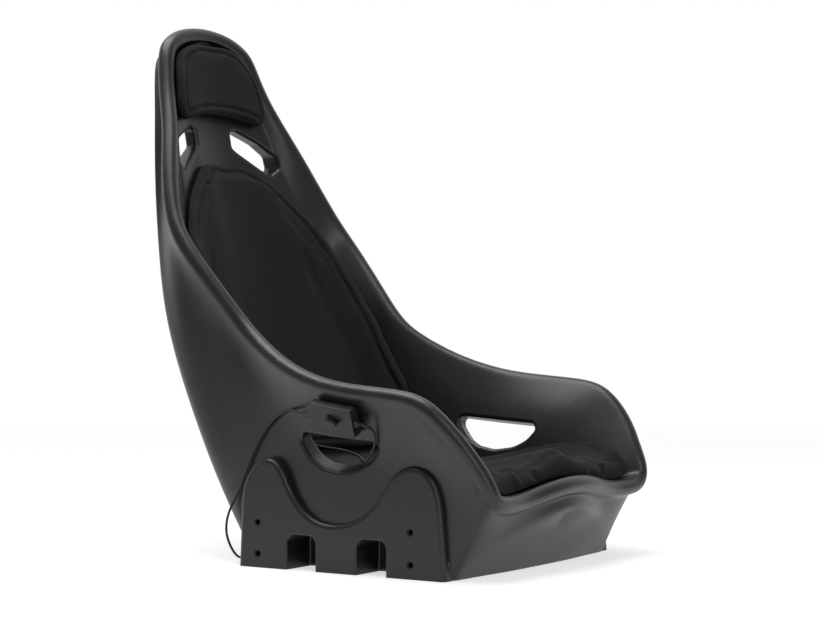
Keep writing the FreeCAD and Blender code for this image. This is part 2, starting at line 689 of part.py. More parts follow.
    ends = []
    for side, kind, wire, plug_length in ((-1, "supply", supply_cable_radius, supply_plug_length),
                                          (1, "pad", pad_cable_radius, pad_plug_length)):
        low = plug_middle - plug_height / 2
        inner_face = box_length / 2 - box_wall - 0.3
        socket = Part.makeBox(11, plug_width + 2.4, plug_height + 1.4,
                              V(inner_face - 11, -plug_width / 2 - 1.2, board_high))
        nose_hole = Part.makeBox(20, plug_width - 1.8, plug_height - 1.8,
                                 V(inner_face - 8, -plug_width / 2 + 0.9, low + 0.9))
        nose = Part.makeBox(plug_nose + 2, plug_width - 2.0, plug_height - 2.0,
                            V(inner_face - plug_nose, -plug_width / 2 + 1.0, low + 1.0))
        start = inner_face + 0.4
        body = Part.makeBox(plug_length, plug_width, plug_height, V(start, -plug_width / 2, low))
        body = body.makeFillet(1.2, [edge for edge in body.Edges
                                     if edge.BoundBox.XLength > plug_length - 0.1])
        relief = Part.makeCone(3.0, wire + 0.7, 6.0, V(start + plug_length, 0, plug_middle), V(1, 0, 0))
        plug = body.fuse([nose, relief])
        ends.append(V(side * (start + plug_length + 6.0), 0, plug_middle))
        socket = socket.cut(nose_hole)
        if side < 0:
            socket = socket.mirror(V(0, 0, 0), V(1, 0, 0))
            plug = plug.mirror(V(0, 0, 0), V(1, 0, 0))
        parts[kind + "_socket"] = socket
        parts[kind + "_plug"] = plug
    return parts, ends


def rounded_path(points, radius_name):
    # Straight runs joined by tangent arcs, each arc as large as its two runs allow.
    edges = []
    start = points[0]
    radii = []
    print(radius_name, "route", [tuple(round(c, 1) for c in point) for point in points])
    for i in range(1, len(points) - 1):
        before = points[i - 1] - points[i]
        after = points[i + 1] - points[i]
        half_turn = (math.pi - before.getAngle(after)) / 2
        reach = 0.45 * min(before.Length, after.Length)
        radius = reach / math.tan(half_turn)
        radii.append(radius)
        first = points[i] + before.normalize() * reach
        last = points[i] + after.normalize() * reach
        inward = (before + after).normalize()
        middle = points[i] + inward * (radius / math.cos(half_turn) - radius)
        edges.append(Part.LineSegment(start, first).toShape())
        edges.append(Part.Arc(first, middle, last).toShape())
        start = last
    edges.append(Part.LineSegment(start, points[-1]).toShape())
    print(radius_name, "radii", [round(radius, 1) for radius in radii])
    return Part.Wire(edges)


def tube(path, radius, name):
    start = path.Edges[0].valueAt(path.Edges[0].FirstParameter)
    ahead = path.Edges[0].tangentAt(path.Edges[0].FirstParameter)
    ring = Part.Wire(Part.makeCircle(radius, start, ahead))
    solid = path.makePipeShell([ring], True, False)
    wanted = math.pi * radius * radius * path.Length
    print(name, "length", round(path.Length, 1), "volume share", round(solid.Volume / wanted, 4))
    return solid


def coil_radii():
    half_turns = 2 * coil_turns
    return [coil_inner + coil_step * (half_turns - k) / 2 for k in range(half_turns)]


def coil_path():
    # Two layers: the turns spiral in, climb in half a turn and spiral out again.
    x0, y0 = coil_middle
    low = coil_floor + supply_cable_radius
    high = low + 2 * supply_cable_radius + 0.5
    steps = [(radius, low) for radius in coil_radii()] + [(coil_inner, high)]
    steps += [(radius, high) for radius in reversed(coil_radii())]
    edges = []
    side = 1
    at = V(x0 - steps[0][0], y0, low)
    for k, (radius, height) in enumerate(steps):
        width = radius + (steps[k + 1][0] if k + 1 < len(steps) else radius + usb_body[0])
        end = V(at.x + side * width, y0, height)
        middle = V((at.x + end.x) / 2, y0 + side * width / 2, (at.z + height) / 2)
        edges.append(Part.Arc(at, middle, end).toShape())
        at = end
        side = -side
    return Part.Wire(edges), at


def coil_tie():
    x0, y0 = coil_middle
    inner, outer = coil_inner - 1.5, coil_radii()[0] + 1.2
    tall = 4 * supply_cable_radius + 0.5
    room = Part.makeBox(tie_width + 2, outer - inner + 2 * supply_cable_radius, tall + 2 * tie_gap,
                        V(x0 - tie_width / 2 - 1, y0 - outer - supply_cable_radius, tie_thickness))
    band = Part.makeBox(tie_width, outer - inner + 2 * supply_cable_radius + 2 * tie_thickness,
                        tall + 2 * tie_gap + 2 * tie_thickness,
                        V(x0 - tie_width / 2, y0 - outer - supply_cable_radius - tie_thickness, 0))
    band = band.makeFillet(tie_thickness, [e for e in band.Edges if e.BoundBox.XLength > tie_width - 0.1])
    return band.cut(room)


def usb_plug(at):
    # The overmoulded body and the metal tongue, pointing forwards from the coil's end.
    wide, long, tall = usb_body
    body = Part.makeBox(wide, long, tall, V(at.x - wide / 2, at.y - 6 - long, at.z - tall / 2))
    body = body.makeFillet(2.0, [e for e in body.Edges if e.BoundBox.YLength > long - 0.1])
    relief = Part.makeCone(supply_cable_radius + 0.7, 3.6, 6.0, V(at.x, at.y, at.z), V(0, -1, 0))
    body = body.fuse(relief)
    wide, reach, thick = usb_tongue
    front = at.y - 6 - long
    tongue = Part.makeBox(wide, reach, thick, V(at.x - wide / 2, front - reach, at.z - thick / 2))
    hollow = Part.makeBox(wide - 0.8, reach, thick - 0.8,
                          V(at.x - wide / 2 + 0.4, front - reach - 1, at.z - thick / 2 + 0.4))
    return body, tongue.cut(hollow)


def outside(surface, y, z, stand):
    # A point beside the sitter's right outer wall, clear of it by the given stand-off.
    hit = wall_hit(surface, V(-400, y, z), V(1, 0, 0), "outer")
    return hit - V(stand, 0, 0)


def pad_cable_points(surface, start, ahead):
    lie = pad_cable_radius + 2.0
    return [start, start + ahead * 7, outside(surface, -84, 226, lie), outside(surface, -80, 200, lie),
            V(-257, -60, 176), V(-243, -46, 172.5), V(-222, -26, 181), V(-207, 12, 188),
            V(-205, 62, 192), V(-203.5, 110, 198), V(-200, 150, 204)]


def supply_cable_points(surface, start, ahead, end):
    lie = supply_cable_radius + 2.0
    wall = [outside(surface, y, z, lie)
            for y, z in ((80, 254), (98, 249), (115, 241), (130, 230), (143, 217), (155, 202), (166, 185),
                         (176, 167), (184, 150), (193, 132), (203, 113))]
    floor = coil_floor + supply_cable_radius
    return [start, start + ahead * 9] + wall + [
        V(-239, 216, 92), V(-239, 225, 70), V(-238, 227, 48), V(-235, 222, 29), V(-228, 216, 13),
        V(-208, 220, floor + 1), V(-170, 226, floor), V(-110, 232, floor), V(-46, 236, floor),
        V(end.x - 12, 246, floor), V(end.x, 268, floor), end]


def save(name, shape):
    shape.exportStep("parts/%s.step" % name)
    print(name, len(shape.Solids), "valid" if shape.isValid() else "NOT VALID",
          round(shape.Volume / 1000, 2))


pad_gap = strip_thickness + 2 * strip_gap


def pad_nodes(surface, sections, profile, extra_cut):
    outer = pad_solid(surface, sections, profile, pad_gap, 0)
    room = pad_solid(surface, sections, profile, pad_gap, cover_thickness)
    foam = pad_solid(surface, sections, profile, pad_gap, cover_thickness + cover_gap)
    if extra_cut:
        outer, room, foam = outer.cut(extra_cut(0)), room.cut(extra_cut(1)), foam.cut(extra_cut(2))
    cover = Part.makeSolid(Part.Compound([outer.Shells[0], room.Shells[0].reversed()]))
    return cover, foam


def head_arch(level):
    # The head pad's lower edge is a shallow arch; the layers inside stop short of the cover.
    radius, crown = 354.0, 751.0
    grow = (0, cover_thickness, cover_thickness + cover_gap)[level]
    return Part.makeCylinder(radius + grow, 300, V(0, 300, crown - radius), V(0, 1, 0))


def main():
    os.makedirs("parts", exist_ok=True)
    surface = bucket_surface(bucket_poles(0))
    body, hollow = seat_shell(surface)
    shell = body.cut(hollow)
    save("seat_shell", shell)

    inserts = []
    for place in bolt_places():
        start = V(block_face - insert_sink - insert_length, place.y, place.z)
        insert = Part.makeCylinder(insert_radius - 0.05, insert_length, start, V(1, 0, 0))
        bore = Part.makeCylinder(insert_bore, insert_length - 2, start + V(2, 0, 0), V(1, 0, 0))
        inserts += both_sides(insert.cut(bore))
    save("side_inserts", Part.makeCompound(inserts))

    head_rows = head_sections(surface)
    cover, foam = pad_nodes(surface, head_rows, head_profile, head_arch)
    save("head_pad_cover", cover)
    save("head_pad_foam", foam)
    save("head_pad_strips", Part.makeCompound(strips(surface, head_rows, [(-60, 780), (60, 780), (0, 835)], True)))

    frame = box_frame(surface)
    box_parts, ends = control_box_parts()
    forwards = frame.Rotation.multVec(V(1, 0, 0))
    supply_start, pad_start = [frame.multVec(end) for end in ends]
    pad_path = rounded_path(pad_cable_points(surface, pad_start, forwards), "pad_cable")
    pad_cable = tube(pad_path, pad_cable_radius, "pad_cable")
    last_run = pad_path.Edges[-1]
    tunnel_start = last_run.valueAt(last_run.FirstParameter)
    tunnel_ahead = last_run.tangentAt(last_run.FirstParameter)
    tunnel = Part.makeCylinder(pad_cable_radius + cover_gap, last_run.Length + cover_gap,
                               tunnel_start, tunnel_ahead)

    back_rows = back_sections(surface)
    cover, foam = pad_nodes(surface, back_rows, back_profile, None)
    cover, foam = cover.cut(tunnel), foam.cut(tunnel)
    save("back_pad_cover", cover)
    shakers, pockets = [], []
    for place, out in shaker_places(surface):
        shakers.append(Part.makeCylinder(shaker_radius, shaker_height, place, out))
        pockets.append(Part.makeCylinder(shaker_radius + 0.3, shaker_height + 0.6, place - out * 0.3, out))
    save("back_pad_foam", foam.cut(pockets))
    save("back_pad_shakers", Part.makeCompound(shakers))
    places = [(x, z) for z in (290, 400, 510) for x in (-50, 50)] + [(0, 600)]
    save("back_pad_strips", Part.makeCompound(strips(surface, back_rows, places, True)))

    seat_rows = seat_sections(surface)
    cover, foam = pad_nodes(surface, seat_rows, seat_profile, None)
    save("seat_pad_cover", cover)
    save("seat_pad_foam", foam)
    places = [(x, y) for y in (-150, -20, 90) for x in (-90, 90)]
    save("seat_pad_strips", Part.makeCompound(strips(surface, seat_rows, places, False)))

    for name, shape in box_parts.items():
        shape.Placement = frame.multiply(shape.Placement)
        save(name, shape)
    tape = plate(box_length - 14, box_height - 10, 3, -26, -0.05)
    tape.Placement = frame
    tape = tape.cut(Part.makeSolid(body.Shells[0]))
    save("box_mount_pad", max(tape.Solids, key=lambda solid: -solid.CenterOfMass.x))

    save("pad_cable", pad_cable)
    coil_wire, coil_end = coil_path()
    coil_start = coil_wire.Edges[0].valueAt(coil_wire.Edges[0].FirstParameter)
    supply_path = rounded_path(supply_cable_points(surface, supply_start, V() - forwards, coil_start),
                               "supply_cable")
    save("supply_cable", tube(supply_path, supply_cable_radius, "supply_cable"))
    save("supply_cable_coil", tube(coil_wire, supply_cable_radius, "supply_cable_coil"))
    save("coil_tie", coil_tie())
    body_shape, tongue = usb_plug(coil_end)
    save("usb_plug_body", body_shape)
    save("usb_plug_tongue", tongue)
    print("box frame", frame.Base, "out", frame.Rotation.multVec(V(0, 0, 1)))
    print("knob axis at", frame.multVec(V(0, 0, box_depth)))


if __name__ == "__main__":
    main()
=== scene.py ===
import json
import math

import bmesh
import bpy
import numpy as np
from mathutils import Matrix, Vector, kdtree, noise


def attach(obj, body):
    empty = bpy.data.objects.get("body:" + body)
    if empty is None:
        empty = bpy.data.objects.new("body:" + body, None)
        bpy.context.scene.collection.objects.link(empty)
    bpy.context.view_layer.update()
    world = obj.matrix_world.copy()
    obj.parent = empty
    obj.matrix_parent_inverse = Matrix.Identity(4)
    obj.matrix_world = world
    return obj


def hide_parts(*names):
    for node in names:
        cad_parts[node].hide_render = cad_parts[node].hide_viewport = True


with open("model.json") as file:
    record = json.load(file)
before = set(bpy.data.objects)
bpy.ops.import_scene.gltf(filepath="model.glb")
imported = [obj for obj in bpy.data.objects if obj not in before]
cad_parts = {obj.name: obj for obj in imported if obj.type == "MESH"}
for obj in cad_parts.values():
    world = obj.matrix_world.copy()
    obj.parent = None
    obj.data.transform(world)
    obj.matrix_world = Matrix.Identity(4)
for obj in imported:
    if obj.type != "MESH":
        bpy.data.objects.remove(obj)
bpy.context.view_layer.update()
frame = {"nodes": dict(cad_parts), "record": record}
nodes = frame["nodes"]
print("frame loaded,", len(nodes), "nodes")


# Small helpers

def deselectAll():
    if bpy.context.object and bpy.context.object.mode != "OBJECT":
        bpy.ops.object.mode_set(mode="OBJECT")
    bpy.ops.object.select_all(action="DESELECT")


def makeActive(piece):
    deselectAll()
    piece.select_set(True)
    bpy.context.view_layer.objects.active = piece


def giveFinish(piece, material):
    piece.data.materials.clear()
    piece.data.materials.append(material)


# Shader maths: a wire is a socket that can be added, multiplied and so on

class Wire:
    def __init__(self, tree, socket):
        self.tree = tree
        self.socket = socket

    def maths(self, operation, other, turned=False):
        node = self.tree.nodes.new("ShaderNodeMath")
        node.operation = operation
        terms = [other, self] if turned else [self, other]
        for inlet, term in zip(node.inputs, terms):
            if isinstance(term, Wire):
                self.tree.links.new(term.socket, inlet)
            else:
                inlet.default_value = term
        return Wire(self.tree, node.outputs[0])

    def __add__(self, other):
        return self.maths("ADD", other)

    def __radd__(self, other):
        return self.maths("ADD", other, True)

    def __sub__(self, other):
        return self.maths("SUBTRACT", other)

    def __rsub__(self, other):
        return self.maths("SUBTRACT", other, True)

    def __mul__(self, other):
        return self.maths("MULTIPLY", other)

    def __rmul__(self, other):
        return self.maths("MULTIPLY", other, True)

    def limited(self):
        return self.maths("MINIMUM", 1.0).maths("MAXIMUM", 0.0)


class Finish:
    def __init__(self, name):
        self.material = bpy.data.materials.new(name)
        self.material.use_nodes = True
        self.tree = self.material.node_tree
        self.shader = self.tree.nodes["Principled BSDF"]

    def node(self, kind, settings=None, sockets=None, outlet=0):
        made = self.tree.nodes.new(kind)
        for key, value in (settings or {}).items():
            setattr(made, key, value)
        for key, value in (sockets or {}).items():
            self.feed(made.inputs[key], value)
        return Wire(self.tree, made.outputs[outlet])

    def feed(self, inlet, value):
        if isinstance(value, Wire):
            self.tree.links.new(value.socket, inlet)
        else:
            inlet.default_value = value

    def set(self, **sockets):
        for key, value in sockets.items():
            self.feed(self.shader.inputs[key.replace("_", " ")], value)

    def place(self):
        return self.node("ShaderNodeTexCoord", outlet="Object")

    def grain(self, size, detail=2.0, roughness=0.5):
        sockets = {"Vector": self.place(), "Scale": 1 / size, "Detail": detail, "Roughness": roughness}
        return self.node("ShaderNodeTexNoise", {}, sockets)

    def between(self, share, low, high):
        # Inputs 0, 6 and 7 and output 2 are the share and colours of a colour mix
        node = self.tree.nodes.new("ShaderNodeMix")
        node.data_type = "RGBA"
        self.feed(node.inputs[0], share)
        self.feed(node.inputs[6], low)
        self.feed(node.inputs[7], high)
        return Wire(self.tree, node.outputs[2])

    def bump(self, height, depth, strength=1.0):
        sockets = {"Height": height, "Distance": depth, "Strength": strength}
        return self.node("ShaderNodeBump", {}, sockets)


def shades(level, warm=0.0):
    return (level * (1 + warm), level, level * (1 - warm), 1.0)


shellLook = {"dark": 0.009, "light": 0.014, "cool": -0.03, "cloud": 0.05, "shine": 0.5,
             "rough": 0.35, "roughSpread": 0.1, "peel": 0.0016, "peelDepth": 0.00008}


def shellFinish():
    look = shellLook
    finish = Finish("shellPlastic")
    cloudy = finish.grain(look["cloud"], 4.0)
    peel = finish.grain(look["peel"], 2.0, 0.6)
    finish.set(Base_Color=finish.between(cloudy, shades(look["dark"], look["cool"]),
                                         shades(look["light"], look["cool"])),
               Roughness=look["rough"] + (cloudy - 0.5) * look["roughSpread"],
               Normal=finish.bump(peel, look["peelDepth"]))
    finish.shader.inputs["Specular IOR Level"].default_value = look["shine"]
    return finish.material


clothLook = {"dark": 0.01, "light": 0.02, "warm": 0.05, "nap": 0.0011, "napDepth": 0.00022,
             "brush": 0.03, "brushShare": 0.6, "seamPaintedShade": 0.6, "rough": 0.86, "roughSpread": 0.1,
             "bumpStrength": 0.9, "sheen": 0.04, "sheenRough": 0.5, "shine": 0.15}


def clothFinish():
    look = clothLook
    finish = Finish("padCloth")
    brushed = finish.grain(look["brush"], 5.0, 0.6)
    nap = finish.grain(look["nap"], 3.0, 0.7)
    # The seam attribute darkens the cloth where the sewn groove sinks in: painted shade
    seam = finish.node("ShaderNodeAttribute", {"attribute_name": "seam"}, outlet="Fac")
    share = brushed * look["brushShare"] + nap * (1 - look["brushShare"])
    share = share * (1 - seam * look["seamPaintedShade"])
    finish.set(Base_Color=finish.between(share, shades(look["dark"], look["warm"]),
                                         shades(look["light"], look["warm"])),
               Roughness=look["rough"] + nap * look["roughSpread"],
               Normal=finish.bump(nap, look["napDepth"], look["bumpStrength"]))
    finish.shader.inputs["Sheen Weight"].default_value = look["sheen"]
    finish.shader.inputs["Sheen Roughness"].default_value = look["sheenRough"]
    finish.shader.inputs["Specular IOR Level"].default_value = look["shine"]
    return finish.material


mouldedLook = {"cloud": 0.012, "spread": 0.2, "roughSpread": 0.12, "shine": 0.38}


def mouldedFinish(name, level, rough, grainSize, grainDepth):
    # Moulded plastic or rubber with a fine even grain
    look = mouldedLook
    finish = Finish(name)
    cloudy = finish.grain(look["cloud"], 3.0)
    pits = finish.grain(grainSize, 2.0, 0.6)
    finish.set(Base_Color=finish.between(cloudy, shades(level * (1 - look["spread"])),
                                         shades(level * (1 + look["spread"]))),
               Roughness=rough + (pits - 0.5) * look["roughSpread"],
               Normal=finish.bump(pits, grainDepth))
    finish.shader.inputs["Specular IOR Level"].default_value = look["shine"]
    return finish.material


metalLook = {"scratch": 0.002, "scratchDepth": 0.00002, "tarnish": 0.01, "tarnishShade": 0.75,
             "roughSpread": 0.2}


def metalFinish(name, colour, rough):
    look = metalLook
    finish = Finish(name)
    streaks = finish.grain(look["scratch"], 4.0, 0.6)
    dull = finish.grain(look["tarnish"], 3.0)
    dark = tuple(part * look["tarnishShade"] for part in colour) + (1.0,)
    finish.set(Base_Color=finish.between(dull, dark, tuple(colour) + (1.0,)),
               Metallic=1.0, Roughness=rough + (streaks - 0.5) * look["roughSpread"],
               Normal=finish.bump(streaks, look["scratchDepth"]))
    return finish.material


tapeLook = {"dark": 0.008, "light": 0.03, "hook": 0.0008, "hookDepth": 0.0004, "rows": 160.0,
            "waver": 0.4, "rough": 0.8, "roughSpread": 0.15}


def tapeFinish():
    # Hook-and-loop tape: rows of tiny hooks
    look = tapeLook
    finish = Finish("hookTape")
    hooks = finish.grain(look["hook"], 1.0)
    bands = {"Vector": finish.place(), "Scale": look["rows"], "Distortion": look["waver"]}
    rows = finish.node("ShaderNodeTexWave", {"wave_type": "BANDS"}, bands)
    finish.set(Base_Color=finish.between(hooks, shades(look["dark"]), shades(look["light"])),
               Roughness=look["rough"] + hooks * look["roughSpread"],
               Normal=finish.bump(hooks * rows, look["hookDepth"]))
    return finish.material


boardLook = {"dark": (0.01, 0.06, 0.025, 1), "light": (0.02, 0.1, 0.04, 1), "cloud": 0.004,
             "rough": 0.35, "roughSpread": 0.1}


def boardFinish():
    look = boardLook
    finish = Finish("greenBoard")
    cloudy = finish.grain(look["cloud"], 2.0)
    finish.set(Base_Color=finish.between(cloudy, look["dark"], look["light"]),
               Roughness=look["rough"] + cloudy * look["roughSpread"])
    return finish.material


# Level of grey, roughness, grain size and grain depth; for metals, colour and roughness
finishes = {
    "shell_plastic": shellFinish(),
    "pad_fabric": clothFinish(),
    "box_plastic": mouldedFinish("boxPlastic", 0.011, 0.42, 0.0007, 0.00005),
    "knob_plastic": mouldedFinish("knobPlastic", 0.014, 0.36, 0.0009, 0.00003),
    "socket_plastic": mouldedFinish("socketPlastic", 0.01, 0.5, 0.0008, 0.00003),
    "plug_rubber": mouldedFinish("plugRubber", 0.01, 0.48, 0.0006, 0.00004),
    "cable_sheath": mouldedFinish("cableSheath", 0.009, 0.4, 0.0006, 0.00002),
    "mount_rubber": mouldedFinish("mountRubber", 0.012, 0.9, 0.0012, 0.0002),
    "shaker_case": mouldedFinish("shakerCase", 0.02, 0.5, 0.0008, 0.00003),
    "component_case": mouldedFinish("componentCase", 0.015, 0.5, 0.0008, 0.00003),
    "foam": mouldedFinish("openFoam", 0.04, 0.95, 0.0015, 0.0006),
    "hook_tape": tapeFinish(),
    "insert_brass": metalFinish("insertBrass", (0.05, 0.048, 0.045), 0.5),
    "screw_steel": metalFinish("blackSteel", (0.09, 0.09, 0.095), 0.42),
    "pot_metal": metalFinish("platedSteel", (0.45, 0.45, 0.44), 0.35),
    "tongue_steel": metalFinish("nickel", (0.6, 0.59, 0.56), 0.25),
    "board": boardFinish(),
}

for entry in frame["record"]["subparts"]:
    giveFinish(nodes[entry["node"]], finishes[entry["material_slot"]])
print("finishes given")


# Camera, at the photograph's place and angle

cameraSet = {"place": (-3.1409, -2.0170, 0.434), "turn": 33.0, "tip": 0.343, "lens": 98.64,
             "sensor": 36}


def makeCamera():
    turn = math.radians(cameraSet["turn"])
    tip = math.radians(cameraSet["tip"])
    look = Vector((math.cos(turn) * math.cos(tip), math.sin(turn) * math.cos(tip), -math.sin(tip)))
    bpy.ops.object.camera_add(location=cameraSet["place"])
    camera = bpy.context.object
    camera.name = "camera"
    camera.rotation_euler = look.to_track_quat("-Z", "Y").to_euler()
    camera.data.sensor_width = cameraSet["sensor"]
    camera.data.lens = cameraSet["lens"]
    bpy.context.scene.camera = camera


makeCamera()


# Cables: thickness and length in metres; the points of the CAD tubes' routes in millimetres

padCable = {"thick": 0.0044, "length": 0.31,
            "route": [(-286.5, -72.0, 235.1), (-287.0, -78.9, 234.2), (-268.5, -84.0, 226.0),
                      (-259.9, -80.0, 200.0), (-257.0, -60.0, 176.0), (-243.0, -46.0, 172.5),
                      (-222.0, -26.0, 181.0), (-207.0, 12.0, 188.0), (-205.0, 62.0, 192.0),
                      (-203.5, 110.0, 198.0), (-200.0, 150.0, 204.0)]}
supplyCable = {"thick": 0.004, "length": 2.28,
               "route": [(-277.5, 48.4, 249.5), (-276.9, 57.3, 250.6), (-257.5, 80.0, 254.0),
                         (-253.4, 98.0, 249.0), (-250.0, 115.0, 241.0), (-247.4, 130.0, 230.0),
                         (-245.4, 143.0, 217.0), (-243.7, 155.0, 202.0), (-242.1, 166.0, 185.0),
                         (-240.8, 176.0, 167.0), (-239.8, 184.0, 150.0), (-238.7, 193.0, 132.0),
                         (-237.5, 203.0, 113.0), (-239.0, 216.0, 92.0), (-239.0, 225.0, 70.0),
                         (-238.0, 227.0, 48.0), (-235.0, 222.0, 29.0), (-228.0, 216.0, 13.0),
                         (-208.0, 220.0, 4.5), (-170.0, 226.0, 3.5), (-110.0, 232.0, 3.5),
                         (-46.0, 236.0, 3.5), (-8.0, 246.0, 3.5), (4.0, 268.0, 3.5)]}
coil = {"middle": (40.0, 292.0), "inner": 13.0, "turns": 5, "step": 4.6, "low": 3.5, "high": 8.0,
        "lastWider": 15.0, "pointsPerHalf": 8}
cableMesh = {"order": 3, "steps": 6, "roundSteps": 4}


def coilPoints():
    # Half turns that spiral in, climb one layer and spiral out again
    x0, y0 = coil["middle"]
    halves = 2 * coil["turns"]
    inward = [coil["inner"] + coil["step"] * (halves - k) / 2 for k in range(halves)]
    steps = [(r, coil["low"]) for r in inward] + [(coil["inner"], coil["high"])]
    steps += [(r, coil["high"]) for r in reversed(inward)]
    points = []
    x, z, side = x0 - steps[0][0], coil["low"], 1
    count = coil["pointsPerHalf"]
    fuller = 1 / math.cos(math.pi / (2 * count))      # the spline runs inside its points
    for k, (radius, height) in enumerate(steps):
        last = k + 1 == len(steps)
        half = (radius + (radius + coil["lastWider"] if last else steps[k + 1][0])) / 2
        middle = x + side * half
        for j in range(count):
            turn = math.pi * (j + 0.5) / count
            rise = z + (height - z) * (1 - math.cos(turn)) / 2
            points.append((middle - side * half * fuller * math.cos(turn),
                           y0 + side * half * fuller * math.sin(turn), rise))
        x += side * 2 * half
        z = height
        side = -side
    points.append((x, y0, z))
    return points


def inMetres(point):
    return tuple(value / 1000 for value in point)


def layCable(name, route, thick):
    curve = bpy.data.curves.new(name, "CURVE")
    curve.dimensions = "3D"
    line = curve.splines.new("NURBS")
    line.points.add(len(route) - 1)
    for point, place in zip(line.points, route):
        point.co = inMetres(place) + (1,)
    line.order_u = cableMesh["order"]
    line.use_endpoint_u = True
    line.resolution_u = cableMesh["steps"]
    curve.bevel_depth = thick / 2
    curve.bevel_resolution = cableMesh["roundSteps"]
    curve.use_fill_caps = True
    cable = bpy.data.objects.new(name, curve)
    bpy.context.scene.collection.objects.link(cable)
    giveFinish(cable, finishes["cable_sheath"])
    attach(cable, "seat")
    return cable


cable = layCable("padCable", padCable["route"], padCable["thick"])
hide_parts("pad_cable")
inMetres(padCable["route"][0])
cable = layCable("supplyCable", supplyCable["route"] + coilPoints(), supplyCable["thick"])
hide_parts("supply_cable", "supply_cable_coil")
inMetres(supplyCable["route"][0])
print("cables laid")


# Pads: swollen by the cloth simulation, then given their seams. A pad's spine is the middle of its
# curve, as height and depth in millimetres; its other sizes are in metres.

backPad = {"node": "back_pad_cover", "foam": "back_pad_foam", "voxel": 0.006, "cap": 0.004,
           "spine": [(150, 91), (166, 107), (192, 126), (225, 145), (275, 167), (330, 188), (385, 205),
                     (440, 222), (490, 237), (540, 251), (580, 262), (615, 270), (640, 276), (664, 281)],
           "seam": 0.015, "seamWide": 0.0028, "seamDeep": 0.0032, "border": 0.0015, "sunk": 0.0,
           "fold": 0.0006, "fill": 0.85}
headPad = {"node": "head_pad_cover", "foam": "head_pad_foam", "voxel": 0.004, "cap": 0.0015,
           "seam": 0.014, "seamWide": 0.003, "seamDeep": 0.0022, "border": 0.002, "sunk": 0.0005,
           "fold": 0.0003, "bend": 0.4, "fill": 0.85}
seatPad = {"node": "seat_pad_cover", "foam": "seat_pad_foam", "voxel": 0.006, "cap": 0.006,
           "seam": 0.016, "seamWide": 0.0035, "seamDeep": 0.0015, "border": 0.0, "sunk": 0.0,
           "fold": 0.0012, "middleHeight": 0.335, "fill": 0.85}
skin = {"weld": 0.00001, "smoothing": 0.5, "smoothTimes": 3, "finer": 1}
swelling = {"pressure": 4, "quality": 5, "stretch": 20, "bend": 2, "frames": 20, "backCap": 0.0015,
            "frontShare": 0.2}
sewing = {"edgeShare": 0.3, "slope": 0.01, "foldsPerMetre": 28, "foldFrom": 0.03}


def outerSkin(source, name):
    # A copy of a CAD cover's outer surface, without its inner one
    mesh = source.data.copy()
    shape = bmesh.new()
    shape.from_mesh(mesh)
    bmesh.ops.remove_doubles(shape, verts=shape.verts, dist=skin["weld"])
    seen = set()
    groups = []
    for start in shape.verts:
        if start in seen:
            continue
        group, waiting = [], [start]
        seen.add(start)
        while waiting:
            vert = waiting.pop()
            group.append(vert)
            for edge in vert.link_edges:
                other = edge.other_vert(vert)
                if other not in seen:
                    seen.add(other)
                    waiting.append(other)
        width = max(v.co.x for v in group) - min(v.co.x for v in group)
        groups.append((width, group))
    widest = max(width for width, group in groups)
    bmesh.ops.delete(shape, geom=[v for width, group in groups if width < widest for v in group],
                     context="VERTS")
    shape.to_mesh(mesh)
    shape.free()
    cover = bpy.data.objects.new(name, mesh)
    bpy.context.scene.collection.objects.link(cover)
    return cover


def places(mesh):
    flat = np.zeros(len(mesh.vertices) * 3)
    mesh.vertices.foreach_get("co", flat)
    return flat.reshape(-1, 3)


def facings(mesh):
    flat = np.zeros(len(mesh.vertices) * 3)
    mesh.vertex_normals.foreach_get("vector", flat)
    return flat.reshape(-1, 3)


def towardsSitter(pad, points):
    # The direction from the pad's back to its front, at each point
    if pad is headPad:
        way = np.zeros_like(points)
        way[:, 1] = -1.0
        way[:, 0] = -points[:, 0] / pad["bend"]
    elif pad is seatPad:
        way = np.zeros_like(points)
        way[:, 0] = -points[:, 0]
        way[:, 2] = pad["middleHeight"] - points[:, 2]
    else:
        heights, depths = zip(*pad["spine"])
        axis = np.interp(points[:, 2], np.array(heights) / 1000, np.array(depths) / 1000)
        way = np.stack([-points[:, 0], axis - points[:, 1], np.zeros(len(points))], axis=1)
    return way / np.linalg.norm(way, axis=1)[:, None]


def swell(piece, pad):
    # The cloth simulation blows the cover up a little; how far a point may go is capped
    before = places(piece.data)
    makeActive(piece)
    bpy.ops.object.modifier_add(type="CLOTH")
    cloth = piece.modifiers[-1]
    cloth.settings.quality = swelling["quality"]
    cloth.settings.use_pressure = True
    cloth.settings.uniform_pressure_force = swelling["pressure"]
    cloth.settings.effector_weights.gravity = 0
    cloth.settings.tension_stiffness = swelling["stretch"]
    cloth.settings.compression_stiffness = swelling["stretch"]
    cloth.settings.bending_stiffness = swelling["bend"]
    cloth.point_cache.frame_start = 1
    cloth.point_cache.frame_end = swelling["frames"]
    for moment in range(1, swelling["frames"] + 1):
        bpy.context.scene.frame_set(moment)
    bpy.ops.object.modifier_apply(modifier=cloth.name)
    bpy.context.scene.frame_set(1)
    moved = places(piece.data) - before
    front = np.einsum("ij,ij->i", facings(piece.data), towardsSitter(pad, before))
    limit = np.where(front > swelling["frontShare"], pad["cap"], swelling["backCap"])
    length = np.linalg.norm(moved, axis=1) + 1e-9      # never nought
    moved *= np.minimum(1, limit / length)[:, None]
    piece.data.vertices.foreach_set("co", (before + moved).ravel())
    piece.data.update()


